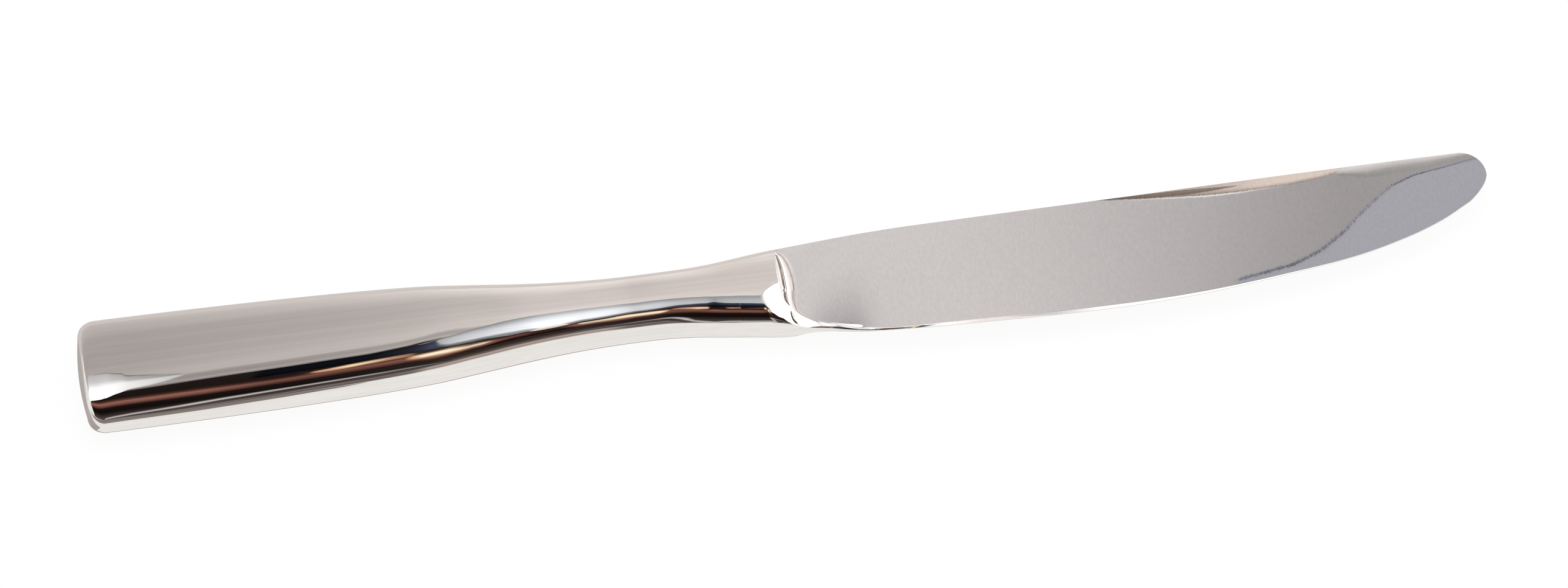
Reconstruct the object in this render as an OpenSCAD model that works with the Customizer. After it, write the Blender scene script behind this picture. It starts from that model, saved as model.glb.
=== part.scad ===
// Table knife with a hollow handle.
// One forging makes the blade, bolster, spigot and tang. Two pressed steel shells make the handle.
// Filler metal joins the shells to each other and to the bolster, and cement beds the tang.
// X runs from the butt to the tip, Y towards the spine, and Z is the thickness as the knife lies.
// The outlines are worked out from the shoulder, and the whole is then set on its bottom centre.

/* [Handle] */
// Length from the butt to the shoulder
handle_l = 119; // [108:1:130]
// Width at the butt
butt_w = 20.4; // [17:0.2:24]
// Thickness over the flat lands, from the butt to the middle of the handle
handle_t = 10.5; // [9.4:0.1:12.5]
// Distance from the shoulder back to the neck
neck_back = 25.5; // [22:0.5:30]
// Width at the neck
neck_w = 11.2; // [10:0.2:13]
// Thickness at the neck
neck_t = 9.2; // [8:0.1:10]
// Corner rounding of the butt, seen in plan
butt_corner = 3; // [1:0.2:5]
// Rounding of the butt's rim towards the broad faces
butt_round = 1; // [0.4:0.1:2]
// Height of the domed end face
butt_dome = 0.6; // [0.2:0.1:1.5]
// Sheet thickness of the shells
shell_wall = 0.9; // [0.6:0.1:1.3]

/* [Bolster] */
// Length of the bolster, from the shells' mouth to the shoulder
bolster_l = 8; // [6:0.5:12]
// Width at the shoulder
shoulder_w = 15.7; // [14:0.1:18]
// Thickness at the shoulder
shoulder_t = 9.2; // [7.5:0.1:10]
// Drop of the shoulder's middle below the handle's axis
shoulder_drop = 0.38; // [0:0.02:1]
// Distance that the shoulder's crest lies behind the end of the handle's length
crest_back = 1.1; // [0.5:0.1:2]
// Distance that the crest sweeps forward along the cutting edge
crest_sweep = 9.3; // [5:0.1:12]
// Run of the shoulder's wall with its fillet, where it is deepest
wall_run = 1.6; // [1:0.1:4]
// Length of the spigot inside the shells
spigot_l = 8; // [5:0.5:12]

/* [Blade] */
// Length from the shoulder to the tip
blade_l = 121; // [100:1:140]
// Height of the spine above the handle's axis, at the tip
spine_h = 10; // [9:0.1:12]
// Depth of the belly below the handle's axis
belly_d = 11.55; // [10:0.05:14]
// Thickness at the root
root_t = 2.4; // [1.6:0.1:3.2]
// Thickness of the spine at the tip
tip_t = 1; // [0.7:0.1:1.5]
// Thickness left behind the ground edge
bevel_t = 0.5; // [0.3:0.05:0.7]
// Width of the ground edge
bevel_w = 0.6; // [0.4:0.1:1.2]
// Thickness of the cutting edge
edge_t = 0.1; // [0.05:0.01:0.2]
// Length of the thick heel, from the shoulder to where the cutting edge starts
heel_l = 20; // [14:0.5:28]
// Radius of the tip
tip_r = 4.5; // [3:0.1:6]

/* [Tang] */
// Length of the tang behind the spigot
tang_l = 62; // [30:1:75]
// Width of the tang
tang_w = 5.4; // [4:0.1:6]
// Thickness of the tang
tang_t = 3.2; // [2:0.1:4]

/* [Joints] */
// Gap between the two shells, filled by the seam
seam_gap = 0.2; // [0.1:0.02:0.3]
// Gap round the spigot and at the shells' mouth, filled by the ring
ring_gap = 0.15; // [0.1:0.01:0.3]
// Clearance between the cement and the steel
cement_gap = 0.05; // [0.02:0.01:0.1]

/* [Hidden] */

// Facets across each broad face, an odd number so that the middle one lies flat
face_steps = 17;
// Exponent of the cushion section: 2 is an ellipse, more is fuller
fullness = 2.5;
// Share of the half width that the flat lands take
land_share = cos(180 * (face_steps - 3) / 2 / face_steps);
// Exponent of the blade's grind: 1 is a plain wedge
grind = 1.5;

// Handle from the neck to the butt: place, growth in width
handle_w_shares = [
    [1, 1], [0.75, 0.96], [0.58, 0.885], [0.45, 0.78], [0.366, 0.665],
    [0.28, 0.45], [0.2, 0.24], [0.11, 0.07], [0, 0]
];
// Handle from the neck to the butt: place, growth in thickness
handle_t_shares = [[1, 1], [0.42, 1], [0.3, 0.95], [0.2, 0.75], [0.1, 0.3], [0, 0]];
// Neck to shoulder: place, growth of the spine's side, growth of the edge's side
flare_shares = [
    [0.22, 0.015, 0.03], [0.376, 0.06, 0.17], [0.533, 0.22, 0.39], [0.686, 0.48, 0.58], [0.843, 0.77, 0.79]
];
// Spine of the blade: place, rise from the shoulder to the full height
spine_shares = [[0.05, 0.2], [0.1, 0.38], [0.16, 0.52], [0.25, 0.6], [0.5, 0.76], [0.75, 0.93], [1, 1]];
// Cutting edge: place, share of the belly's depth
edge_shares = [
    [0.04, 0.744], [0.1, 0.856], [0.17, 0.912], [0.28, 0.962], [0.43, 1], [0.56, 0.958], [0.69, 0.812],
    [0.82, 0.592], [0.86, 0.478], [0.9, 0.337], [0.93, 0.202], [0.96, 0.027], [0.975, -0.062], [1, -0.19]
];
// Wall of the shoulder: place along its run, share of the step that is left
wall_shares = [
    [0, 1], [0.09, 0.969], [0.412, 0.17], [0.466, 0.103], [0.534, 0.065], [0.625, 0.037], [0.72, 0.0176],
    [0.812, 0.0074], [1, 0]
];
// Heel: place, share of the root's thickness that is left at the edge
heel_shares = [[0, 1], [0.1, 0.97], [0.75, 0.2], [1, 0]];
// Where across the face the crest starts to sweep, and how sharply
sweep_start_share = 0.55;
sweep_power = 2.5;
// Share of the blade over which the curved stations straighten out
settle_share = 0.5;
// Scales of the rings that close the domed end face
dome_shares = [0.1, 0.45, 0.8];
// Thickness of the tang's end, as a share of its root
tang_end_share = 0.7;

// Steps along each stretch
corner_steps = 5;
body_steps = 17;
sleeve_steps = 4;
bolster_steps = 5;
blade_steps = 24;
tip_steps = 7;
// How far the blade's stations crowd towards the shoulder: 1 is even
crowding = 1.4;
// Angle of the tip's arc that is followed before its flat end
tip_turn = 84;

mouth_x = -bolster_l - ring_gap;
sleeve_x = mouth_x - spigot_l;
tang_x = sleeve_x - tang_l;
end_x = -handle_l + butt_dome;
inner_end_x = end_x + shell_wall;
settle_l = blade_l * settle_share;

function mix(a, b, share) = a + (b - a) * share;
function limit(share) = min(1, max(0, share));
function ease(share) = pow(limit(share), 2) * (3 - 2 * limit(share));

// Slope of a table's curve at point i, from its two neighbours: level where the table turns or is flat
function chord(table, i, col) =
    (table[i + 1][col] - table[i][col]) / (table[i + 1][0] - table[i][0]);
function slope(table, i, col) =
    i == 0 ? chord(table, 0, col) :
    i == len(table) - 1 ? chord(table, i - 1, col) :
    chord(table, i - 1, col) * chord(table, i, col) <= 0 ? 0 :
    let (
        before = table[i][0] - table[i - 1][0],
        after = table[i + 1][0] - table[i][0]
    )
    (chord(table, i - 1, col) * after + chord(table, i, col) * before) / (before + after);

// Smooth curve through a table's points, read at x: a cubic between each pair
function curve(table, x, col = 1) =
    let (
        i = max([for (k = [0 : len(table) - 2]) if (k == 0 || x >= table[k][0]) k]),
        span = table[i + 1][0] - table[i][0],
        t = limit((x - table[i][0]) / span),
        rise = t * t * (3 - 2 * t)
    )
    mix(table[i][col], table[i + 1][col], rise)
        + span * t * (1 - t) * ((1 - t) * slope(table, i, col) - t * slope(table, i + 1, col));

// Outline of the whole knife: place, spine side, cutting edge side
shoulder_spine_y = shoulder_w / 2 - shoulder_drop;
shoulder_edge_y = -shoulder_w / 2 - shoulder_drop;
tip_y = spine_h - tip_r;
function neck_to_butt_x(share) = mix(-neck_back, -handle_l, share);
handle_outline = [
    for (s = handle_w_shares)
        let (half = mix(neck_w, butt_w, s[1]) / 2)
        [neck_to_butt_x(s[0]), half, -half]
];
flare_outline = [
    for (s = flare_shares)
        [
            mix(-neck_back, 0, s[0]),
            mix(neck_w / 2, shoulder_spine_y, s[1]),
            mix(-neck_w / 2, shoulder_edge_y, s[2])
        ]
];
spine_outline = concat(
    handle_outline,
    flare_outline,
    [[0, shoulder_spine_y, shoulder_edge_y]],
    [for (s = spine_shares) [s[0] * blade_l, mix(shoulder_spine_y, spine_h, s[1])]]
);
edge_outline = concat(
    handle_outline,
    flare_outline,
    [[0, shoulder_spine_y, shoulder_edge_y]],
    [for (s = edge_shares) [s[0] * blade_l, 0, -belly_d * s[1]]]
);
thickness_table = concat(
    [for (s = handle_t_shares) [neck_to_butt_x(s[0]), mix(neck_t, handle_t, s[1]) / 2]],
    [[0, shoulder_t / 2], [blade_l, shoulder_t / 2]]
);

// How much of the outline is left inside the tip's round end
function tip_share(x) = sqrt(max(0, 1 - pow(max(0, x - blade_l + tip_r) / tip_r, 2)));
function spine_y(x) = mix(tip_y, curve(spine_outline, x, 1), tip_share(x));
function edge_y(x) = mix(tip_y, curve(edge_outline, x, 2), tip_share(x));
function middle_y(x) = (spine_y(x) + edge_y(x)) / 2;

// What a quarter round of radius r takes off at distance d from its end
function round_off(r, d) = r - sqrt(max(0, r * r - pow(max(0, r - d), 2)));
function half_w(x) = (spine_y(x) - edge_y(x)) / 2 - round_off(butt_corner, x - end_x);
function half_t(x) = curve(thickness_table, x) - round_off(butt_round, x - end_x);

// Height of the cushion section at share c of its half width, with a flat land in the middle
function cushion(c) =
    pow((1 - pow(max(abs(c), land_share), fullness)) / (1 - pow(land_share, fullness)), 1 / fullness);
function across(i) = cos(180 * i / face_steps);

// Points of one face of a cushion section, from the spine's side to the edge's side.
// The section is drawn in by inset and shrunk by share, and stays floor_z above the middle plane.
function face_row(x, inset = 0, share = 1, floor_z = 0, at_x = undef) = [
    for (i = [0 : face_steps])
        [
            is_undef(at_x) ? x : at_x,
            middle_y(x) + share * (half_w(x) - inset) * across(i),
            max(floor_z, share * (half_t(x) - inset) * cushion(across(i)))
        ]
];
function flip(row) = [for (i = [len(row) - 1 : -1 : 0]) row[i]];
function mirrored(row) = [for (p = row) [p[0], p[1], -p[2]]];
function both_faces(row) = concat(row, mirrored(flip(row)));

// Stations along the handle: the butt's corner, the body, and the sleeve round the spigot
corner_stations = [
    for (i = [0 : corner_steps]) end_x + butt_corner * (1 - cos(90 * i / corner_steps))
];
body_stations = [for (i = [1 : body_steps]) mix(end_x + butt_corner, sleeve_x, i / body_steps)];
sleeve_stations = [for (i = [1 : sleeve_steps]) mix(sleeve_x, mouth_x, i / sleeve_steps)];
handle_stations = concat(corner_stations, body_stations, sleeve_stations);

// The cavity follows the outside, drawn in by the wall, and stops short of the butt by the wall
function inner_x(x, gap) =
    x + (shell_wall + gap) * limit((sleeve_x - x) / (sleeve_x - end_x));

// Quads between neighbouring rows, each row a closed loop of n points
function skin(rows, n) = [
    for (j = [0 : rows - 2], i = [0 : n - 1])
        let (a = j * n + i, b = j * n + (i + 1) % n)
        each [[a, b, b + n], [a, b + n, a + n]]
];
// Quads between the outer and inner half of one row
function wall_strip(start, n) = [
    for (i = [0 : n / 2 - 2])
        let (a = start + i, b = start + i + 1, c = start + n - 2 - i, d = start + n - 1 - i)
        each [[a, b, c], [a, c, d]]
];
function span_list(from, to) = [for (i = [from : to]) i];
function span_back(from, to) = [for (i = [to : -1 : from]) i];

// Solid through closed rows, with a flat face at each end
module loft(rows) {
    n = len(rows[0]);
    last = (len(rows) - 1) * n;
    polyhedron(
        points = [for (row = rows) each row],
        faces = concat(
            skin(len(rows), n),
            [span_back(0, n - 1)],
            [span_list(last, last + n - 1)]
        )
    );
}

// One pressed half of the handle: a dished sheet, open at the mouth and closed at the butt
module half_shell() {
    floor_z = seam_gap / 2;
    outer = concat(
        [for (s = dome_shares) face_row(end_x, 0, s, floor_z, end_x - butt_dome * (1 - s * s))],
        [for (x = handle_stations) face_row(x, 0, 1, floor_z)]
    );
    inner = concat(
        [for (s = dome_shares) face_row(inner_end_x, shell_wall, s, floor_z)],
        [for (x = handle_stations) face_row(inner_x(x, 0), shell_wall, 1, floor_z)]
    );
    rows = [for (j = [0 : len(outer) - 1]) concat(outer[j], flip(inner[j]))];
    n = len(rows[0]);
    last = (len(rows) - 1) * n;
    polyhedron(
        points = [for (row = rows) each row],
        faces = concat(
            skin(len(rows), n),
            wall_strip(last, n),
            [span_back(0, n / 2 - 1)],
            [span_back(n / 2, n - 1)],
            [[n / 2 - 1, 0, n - 1], [n / 2 - 1, n - 1, n / 2]]
        )
    );
}

// Where the shoulder's crest lies, for a share q of the way across the face
function crest_x(q) =
    crest_sweep * pow(limit((q - sweep_start_share) / (1 - sweep_start_share)), sweep_power) - crest_back;
// Run of the wall there: it keeps one slope, so a lower step has a shorter run
function run_at(q) =
    wall_run * limit((shoulder_t * cushion(cos(180 * q)) - root_t) / (shoulder_t - root_t));
// Station u of the forging, bent so that station 0 follows the crest all the way across
function bent_x(u, q) =
    u <= 0 ? u + crest_x(q) * ease(1 + u / bolster_l) :
    u <= wall_run ? crest_x(q) + run_at(q) * u / wall_run :
    u + (crest_x(q) + run_at(q) - wall_run) * (1 - ease((u - wall_run) / settle_l));

// Half thickness of the blade at x, at share v of its width from the cutting edge
function bevel_half(depth) = mix(edge_t, bevel_t, limit(depth / bevel_w)) / 2;
function edge_half(x, depth) = mix(bevel_half(depth), root_t / 2, curve(heel_shares, x / heel_l));
function blade_half(x, v) =
    mix(
        edge_half(x, v * 2 * half_w(x)),
        mix(root_t, tip_t, limit(x / blade_l)) / 2,
        1 - pow(1 - v, grind)
    );

// One face of the forging at station u: the blade, with what the wall leaves of the bolster on it
function forged_row(u) = [
    for (i = [0 : face_steps])
        let (
            q = i / face_steps,
            c = across(i),
            x = bent_x(u, q),
            slab = mix(seam_gap / 2, blade_half(x, (1 + c) / 2), ease(1 + u / bolster_l)),
            step = max(0, half_t(x) * cushion(c) - slab),
            left = u <= 0 ? 1 : u >= wall_run ? 0 : curve(wall_shares, u / wall_run)
        )
        [x, middle_y(x) + half_w(x) * c, slab + step * left]
];

// Tang section, drawn round the handle's axis
function tang_row(x, share) = [
    for (i = [0 : face_steps])
        [x, tang_w / 2 * across(i), max(seam_gap / 2, share * tang_t / 2 * cushion(across(i)))]
];
spigot_inset = shell_wall + ring_gap;
spigot_rows = [
    for (x = concat([sleeve_x], sleeve_stations)) face_row(x, spigot_inset, 1, seam_gap / 2)
];

// Forged blade with its bolster, the spigot that fills the shells' mouth, and the tang
module blade() {
    stations = concat(
        [for (i = [0 : bolster_steps]) -bolster_l * (1 - i / bolster_steps)],
        [for (s = wall_shares) if (s[0] > 0) s[0] * wall_run],
        [for (i = [1 : blade_steps]) mix(wall_run, blade_l - tip_r, pow(i / blade_steps, crowding))],
        [for (i = [1 : tip_steps]) blade_l - tip_r * (1 - sin(tip_turn * i / tip_steps))]
    );
    half_rows = concat(
        [tang_row(tang_x, tang_end_share), tang_row(sleeve_x, 1)],
        spigot_rows,
        [face_row(-bolster_l, spigot_inset, 1, seam_gap / 2)],
        [for (u = stations) forged_row(u)]
    );
    color("silver")
        placed() loft([for (row = half_rows) both_faces(row)]);
}

// Right-hand half of the handle, on top as the knife lies
module handle_shell_upper() {
    color("lightgray")
        placed() half_shell();
}

// Left-hand half of the handle, underneath
module handle_shell_lower() {
    color("lightgray")
        placed() mirror([0, 0, 1]) half_shell();
}

// Filler metal along the seam of the two shells, from mouth to mouth round the butt
module shell_seam() {
    outer = concat(
        [for (s = dome_shares) [end_x - butt_dome * (1 - s * s), end_x, s]],
        [for (x = handle_stations) [x, x, 1]]
    );
    inner = concat(
        [for (s = dome_shares) [inner_end_x, inner_end_x, s]],
        [for (x = handle_stations) [inner_x(x, 0), inner_x(x, 0), 1]]
    );
    function side(list, inset, way) = [
        for (p = list) [p[0], middle_y(p[1]) + way * p[2] * (half_w(p[1]) - inset)]
    ];
    color("gainsboro")
        placed()
            linear_extrude(height = seam_gap, center = true)
                polygon(concat(
                    flip(side(outer, 0, 1)),
                    side(outer, 0, -1),
                    flip(side(inner, shell_wall, -1)),
                    side(inner, shell_wall, 1)
                ));
}

// Ring of filler metal: a sleeve round the spigot and a collar between the mouth and the bolster
module bolster_ring() {
    sleeve = concat([sleeve_x], sleeve_stations);
    rows = concat(
        [for (x = sleeve) face_row(x, shell_wall, 1, seam_gap / 2)],
        [face_row(mouth_x, 0, 1, seam_gap / 2)],
        [face_row(-bolster_l, 0, 1, seam_gap / 2)],
        [face_row(-bolster_l, spigot_inset, 1, seam_gap / 2)],
        flip(spigot_rows)
    );
    loops = [for (row = rows) both_faces(row)];
    n = len(loops[0]);
    count = len(loops);
    color("gainsboro")
        placed()
            polyhedron(
                points = [for (row = loops) each row],
                faces = [
                    for (j = [0 : count - 1], i = [0 : n - 1])
                        let (
                            a = j * n + i,
                            b = j * n + (i + 1) % n,
                            c = (j + 1) % count * n + (i + 1) % n,
                            d = (j + 1) % count * n + i
                        )
                        each [[a, b, c], [a, c, d]]
                ]
            );
}

// Cement that fills the handle behind the spigot and grips the tang
module handle_cement() {
    back_x = sleeve_x - cement_gap;
    inset = shell_wall + cement_gap;
    stations = [for (x = concat(corner_stations, body_stations)) inner_x(x, cement_gap)];
    outside = concat(
        [for (x = stations) if (x < back_x) face_row(x, inset, 1, seam_gap / 2)],
        [face_row(back_x, inset, 1, seam_gap / 2)]
    );
    pocket = [tang_row(back_x, 1), tang_row(tang_x, tang_end_share)];
    color("tan")
        placed()
            loft([for (row = concat(outside, pocket)) both_faces(row)]);
}

// Sets a piece in the knife's own frame: the origin is the bottom centre of the whole
plan_stations = [for (i = [0 : 2 * body_steps]) mix(end_x, blade_l - tip_r, i / (2 * body_steps))];
top_y = max([for (x = plan_stations) middle_y(x) + half_w(x)]);
bottom_y = min([for (x = plan_stations) middle_y(x) - half_w(x)]);
module placed() {
    translate([(handle_l - blade_l) / 2, -(top_y + bottom_y) / 2, handle_t / 2])
        children();
}

blade();
handle_shell_upper();
handle_shell_lower();
shell_seam();
bolster_ring();
handle_cement();
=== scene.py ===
import math

import bpy
import numpy as np
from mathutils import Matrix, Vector


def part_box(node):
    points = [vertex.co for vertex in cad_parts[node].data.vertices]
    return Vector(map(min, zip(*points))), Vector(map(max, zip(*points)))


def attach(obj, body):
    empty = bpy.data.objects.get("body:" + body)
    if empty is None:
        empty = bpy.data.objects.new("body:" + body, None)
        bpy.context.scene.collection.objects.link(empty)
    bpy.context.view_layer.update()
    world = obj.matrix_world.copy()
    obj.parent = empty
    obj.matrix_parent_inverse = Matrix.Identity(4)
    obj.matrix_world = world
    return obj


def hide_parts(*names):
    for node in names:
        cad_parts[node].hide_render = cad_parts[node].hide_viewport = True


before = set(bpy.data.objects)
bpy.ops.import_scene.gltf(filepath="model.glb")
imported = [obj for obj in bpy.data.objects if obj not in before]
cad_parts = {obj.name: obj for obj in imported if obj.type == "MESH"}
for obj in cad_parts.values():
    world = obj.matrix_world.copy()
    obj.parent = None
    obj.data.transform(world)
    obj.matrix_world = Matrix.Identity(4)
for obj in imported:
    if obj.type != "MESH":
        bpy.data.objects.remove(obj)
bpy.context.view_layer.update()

# Blade. One forging of hardened stainless steel makes the blade, the bolster and the tang.
# Its faces are ground across on a fine wheel and the bolster is polished to a mirror.
# It is made first, and everything else is fitted round its tang.
MM = 0.001
HANDLE_L, BUTT_W, HANDLE_T = 119.0, 20.4, 10.5
NECK_BACK, NECK_W, NECK_T = 25.5, 11.2, 9.2
BOLSTER_L, SHOULDER_W, SHOULDER_T, SHOULDER_DROP = 8.0, 15.7, 9.2, 0.38
BLADE_L, SPINE_H, BELLY_D, TIP_R = 121.0, 10.0, 11.55, 4.5
ROOT_T, TIP_T, EDGE_T, HEEL_L = 2.4, 1.0, 0.1, 20.0
TANG_L, TANG_W, TANG_T, TANG_TAPER, SPIGOT_L = 62.0, 5.4, 3.2, 0.7, 8.0
SHELL_WALL, SEAM_GAP, RING_GAP = 0.9, 0.2, 0.15

# The shoulder's place in the frame. Its Y is fitted below to the CAD blade's box.
PLACE = np.array([(HANDLE_L - BLADE_L) / 2, 0.0, HANDLE_T / 2])

# The cushion section is a superellipse, whose power grows on the edge's side just behind the shoulder.
FULLNESS, SHOULDER_FULLNESS, FULL_BACK, FULL_RUN = 2.5, 0.5, 13.0, 12.0

# The ground edge starts narrow at the heel and widens in front of it. The grind's power makes the blade's
# faces slightly convex.
BEVEL_T, BEVEL_W, BEVEL_START, BEVEL_BACK, BEVEL_GROWTH = 0.5, 0.55, 0.35, 14.0, 16.0
GRIND_POWER = 1.5

# The heel reaches further forward towards the spine. Its low side wall has a rounded corner, which takes up
# no more than a share of the wall's height.
HEEL_SPREAD, HEEL_ROUND, CORNER_SHARE, HEEL_BLEND, CAP_BLEND = 0.15, 0.3, 0.6, 0.3, 0.08

# The step down from the bolster to the blade runs out softly, and its corner is rolled on the edge's side.
WALL_RUN, LEAST_RUN, STEP_BLEND, ROLL_EASE, LEAST_ROLL = 3.4, 0.03, 0.2, 0.25, 0.001

# Outlines, as shares of the lengths and widths between the sizes above. The flare has a share for the spine
# and one for the edge.
WIDTH_GROWTH = [[1, 1], [0.75, 0.96], [0.58, 0.885], [0.45, 0.78], [0.366, 0.665],
                [0.28, 0.45], [0.2, 0.24], [0.11, 0.07], [0, 0]]
THICKNESS_GROWTH = [[1, 1], [0.42, 1], [0.3, 0.95], [0.2, 0.75], [0.1, 0.3], [0, 0]]
FLARE = [[0.22, 0.015, 0.03], [0.376, 0.06, 0.17], [0.533, 0.22, 0.39], [0.686, 0.48, 0.58],
         [0.843, 0.77, 0.79]]
SPINE_RISE = [[0.05, 0.2], [0.1, 0.38], [0.16, 0.52], [0.25, 0.6], [0.5, 0.76], [0.75, 0.93], [1, 1]]
BELLY = [[0.04, 0.744], [0.1, 0.856], [0.17, 0.912], [0.28, 0.962], [0.43, 1], [0.56, 0.958], [0.69, 0.812],
         [0.82, 0.592], [0.86, 0.478], [0.9, 0.337], [0.93, 0.202], [0.96, 0.027], [0.975, -0.062],
         [1, -0.19]]

# What is left of the step's height over its run, of the ground edge at each millimetre from the shoulder,
# and of the heel's thickness over its length.
WALL = [[0, 1], [0.0118, 0.997], [0.0412, 0.9715], [0.3315, 0.2315], [0.3724, 0.1585], [0.415, 0.113],
        [0.4438, 0.0909], [0.5026, 0.0582], [0.5615, 0.0357], [0.6203, 0.0226], [0.7085, 0.0118],
        [0.8115, 0.0046], [1, 0]]
BEVEL_LEFT = [[0, 0.9], [45, 0.85], [62, 0.6], [76, 0.3], [88, 0.1], [121, 0.06]]
HEEL = [[0, 1], [0.1, 0.97], [0.75, 0.2], [1, 0]]

# Round the section, from the spine (0) to the edge (1): the crest's place in front of the shoulder, and how
# long and deep the roll behind it is. All are in millimetres.
CREST = [[0.55, -1.1], [0.6, -1.0], [0.64, -0.8], [0.7, 0.0], [0.74, 1.1], [0.78, 2.4], [0.82, 3.6],
         [0.86, 4.5], [0.9, 5.3], [0.94, 6.1], [1, 7.6]]
ROLL_RUN = [[0.5, 0], [0.55, 1.6], [0.6, 3.6], [0.65, 4.0], [0.7, 3.9], [0.74, 4.3], [0.78, 4.9],
            [0.82, 5.3], [0.86, 5.2], [0.92, 4.6], [1, 3.3]]
ROLL_DEPTH = [[0.52, 0], [0.56, 0.16], [0.6, 0.36], [0.64, 0.56], [0.7, 0.86], [0.74, 1.08], [0.78, 1.3],
              [0.82, 1.4], [0.86, 1.2], [0.9, 0.75], [0.94, 0.3], [0.98, 0.1], [1, 0.05]]

# Along the edge near the shoulder, in millimetres: the height of the heel's side wall. Then the slope above.
SIDE = [[-6, 4], [-2, 2.7], [-1, 2.3], [0.5, 1.9], [1.9, 1.3], [3, 1.0], [4.1, 0.86], [6.2, 0.66],
        [8.25, 0.52], [10.8, 0.4], [13.4, 0.25], [15, 0.14], [20, 0.05]]
SIDE_RISE = [[-6, 1.3], [-1, 1.0], [0.5, 0.5], [2, 0.25], [4, 0.22], [6, 0.34], [8, 0.37], [13.5, 0.38],
             [16, 1], [20, 2]]


def mix(a, b, share):
    """a + (b - a) * share, for numbers or whole arrays."""
    return a + (b - a) * share


def ease(share):
    """The smooth step 3s^2 - 2s^3 between 0 and 1."""
    s = np.clip(share, 0, 1)
    return s * s * (3 - 2 * s)


def curve(table, x):
    """A cubic between each pair of a table's points, level where the table turns or is flat."""
    t = np.array(table, float)
    place, value = t[:, 0], t[:, 1]
    span = np.diff(place)
    chord = np.diff(value) / span
    inner = np.where(chord[:-1] * chord[1:] <= 0, 0,
                     (chord[:-1] * span[1:] + chord[1:] * span[:-1]) / (span[1:] + span[:-1]))
    slope = np.concatenate([chord[:1], inner, chord[-1:]])
    i = np.clip(np.searchsorted(place, x, side="right") - 1, 0, len(span) - 1)
    u = np.clip((x - place[i]) / span[i], 0, 1)
    return mix(value[i], value[i + 1], u * u * (3 - 2 * u)) \
        + span[i] * u * (1 - u) * ((1 - u) * slope[i] - u * slope[i + 1])


def outline(side):
    """The plan outline from the butt to the tip as (place, distance from the axis), for the spine (+1) or
    the edge (-1)."""
    shoulder = side * SHOULDER_W / 2 - SHOULDER_DROP
    handle = [[mix(-NECK_BACK, -HANDLE_L, s), side * mix(NECK_W, BUTT_W, g) / 2] for s, g in WIDTH_GROWTH]
    flare = [[mix(-NECK_BACK, 0, f[0]), mix(side * NECK_W / 2, shoulder, f[1 if side > 0 else 2])]
             for f in FLARE]
    if side > 0:
        blade = [[s * BLADE_L, mix(shoulder, SPINE_H, g)] for s, g in SPINE_RISE]
    else:
        blade = [[s * BLADE_L, -BELLY_D * g] for s, g in BELLY]
    return handle + flare + [[0, shoulder]] + blade


SPINE_LINE, EDGE_LINE = outline(1), outline(-1)
THICKNESS_LINE = [[mix(-NECK_BACK, -HANDLE_L, s), mix(NECK_T, HANDLE_T, g) / 2]
                  for s, g in THICKNESS_GROWTH] + [[0, SHOULDER_T / 2], [BLADE_L, SHOULDER_T / 2]]
TIP_Y = SPINE_H - TIP_R
PLACE[1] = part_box("blade")[1].y / MM - float(curve(SPINE_LINE, np.array(BLADE_L - TIP_R)))


def plan(x):
    """(middle, half width) of the knife at x: the two outlines, drawn together round the tip's circle."""
    left = np.sqrt(np.maximum(0, 1 - (np.maximum(0, x - BLADE_L + TIP_R) / TIP_R) ** 2))
    spine, edge = (mix(TIP_Y, curve(line, x), left) for line in (SPINE_LINE, EDGE_LINE))
    return (spine + edge) / 2, (spine - edge) / 2


def cushion(c, x=-HANDLE_L):
    """Height of the handle's cushion section at share c of its half width: a superellipse, the p-th root of
    1 - |c|^p, with a greater power p on the edge's side near the shoulder."""
    power = FULLNESS + SHOULDER_FULLNESS * np.clip((x + FULL_BACK) / FULL_RUN, 0, 1) * (c < 0)
    return np.maximum(0, 1 - np.abs(c) ** power) ** (1 / power)


def round_off(radius, distance):
    """What a quarter round takes off at a distance d from its end: r less the root of r^2 - (r - d)^2."""
    return radius - np.sqrt(np.maximum(0, radius ** 2 - np.maximum(0, radius - distance) ** 2))


def soft_min(a, b, blend):
    """The lower of two heights. Where they are closer than blend, (blend - gap)^2 / (4 blend) is taken off,
    so that one turns into the other along a parabola."""
    return np.minimum(a, b) - np.maximum(blend - np.abs(a - b), 0) ** 2 / (4 * blend)


def side_cap(x, distance):
    """The height that the heel allows at a distance from the edge: a low wall, a round corner, and a slope
    above it."""
    wall = curve(SIDE, x)
    corner = np.minimum(HEEL_ROUND, wall * CORNER_SHARE)
    return wall + curve(SIDE_RISE, x) * distance - round_off(corner, distance)


def blade_half(x, v, width):
    """Half thickness at x and share v of the width from the edge: a bevel that fades towards the tip, a
    thick heel under its side wall, and a convex grind up to the spine."""
    whole = curve(BEVEL_LEFT, x)
    wide = BEVEL_W * whole * mix(BEVEL_START, 1, ease((x - BEVEL_BACK) / BEVEL_GROWTH))
    bevel = mix(EDGE_T, mix(EDGE_T, BEVEL_T, whole), np.clip(v * width / wide, 0, 1)) / 2
    heel = ROOT_T / 2 * curve(HEEL, x / (HEEL_L * (1 + HEEL_SPREAD * v)))
    behind_edge = -soft_min(-bevel, -heel, HEEL_BLEND)
    spine = mix(ROOT_T, TIP_T, np.clip(x / BLADE_L, 0, 1)) / 2
    slab = mix(behind_edge, spine, 1 - (1 - v) ** GRIND_POWER)
    capped = soft_min(slab, side_cap(x, v * width), CAP_BLEND)
    return np.maximum(EDGE_T / 2, np.where(x < HEEL_L, capped, slab))


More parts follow.
